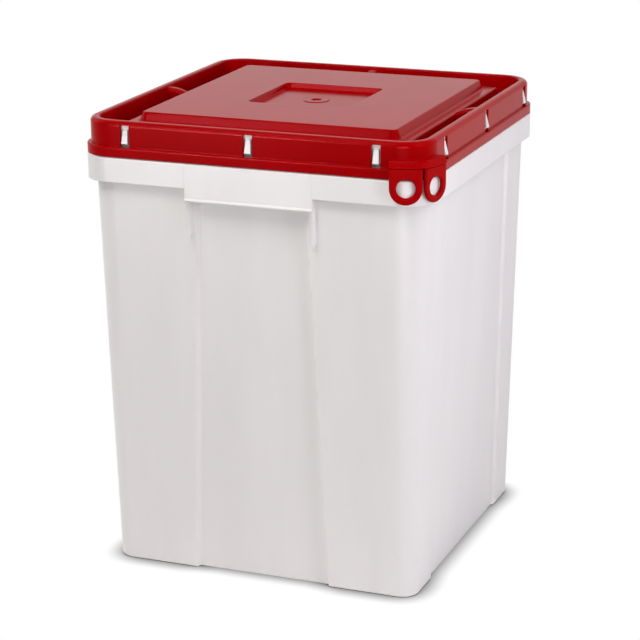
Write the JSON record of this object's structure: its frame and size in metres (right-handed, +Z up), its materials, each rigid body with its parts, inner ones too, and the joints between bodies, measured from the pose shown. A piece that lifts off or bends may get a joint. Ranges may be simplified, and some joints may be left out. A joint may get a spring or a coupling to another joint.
{
  "type": "specimen transport box",
  "caption": "Square tapered plastic tub with moulded hand holds, closed by a push-on lid with a channelled rim, centre recess and corner pull rings.",
  "frame": {"origin": "on the ground at the middle of the tub's foot", "axes": "+Z up, -Y out of the front face with the hand hold, +X to the right seen from the front; the pull rings are at the front right corner"},
  "size_m": [0.3829, 0.3835, 0.4812],
  "materials": {
    "tub_plastic": "white injection-moulded polyethylene, satin gloss",
    "lid_plastic": "red injection-moulded polyethylene, satin gloss",
    "seal_rubber": "soft foamed seal, matt"
  },
  "bodies": {
    "tub": {"tub": "tub_plastic"},
    "lid": {"lid": "lid_plastic", "lid_seal": "seal_rubber"},
    "ring_front": {"pull_ring_front": "lid_plastic"},
    "ring_side": {"pull_ring_side": "lid_plastic"}
  },
  "joints": [
    {"name": "lid_lift", "type": "slide", "parent": "tub", "child": "lid", "axis": [0, 0, 1], "range_m": [0, 0.12]},
    {"name": "ring_front_bend", "type": "hinge", "parent": "lid", "child": "ring_front", "pos_m": [0.16613, -0.18948, 0.45585], "axis": [-0.9462, -0.3236, 0], "range_deg": [0, 110]},
    {"name": "ring_side_bend", "type": "hinge", "parent": "lid", "child": "ring_side", "pos_m": [0.18948, -0.16613, 0.45585], "axis": [-0.3236, -0.9462, 0], "range_deg": [0, 110]}
  ]
}
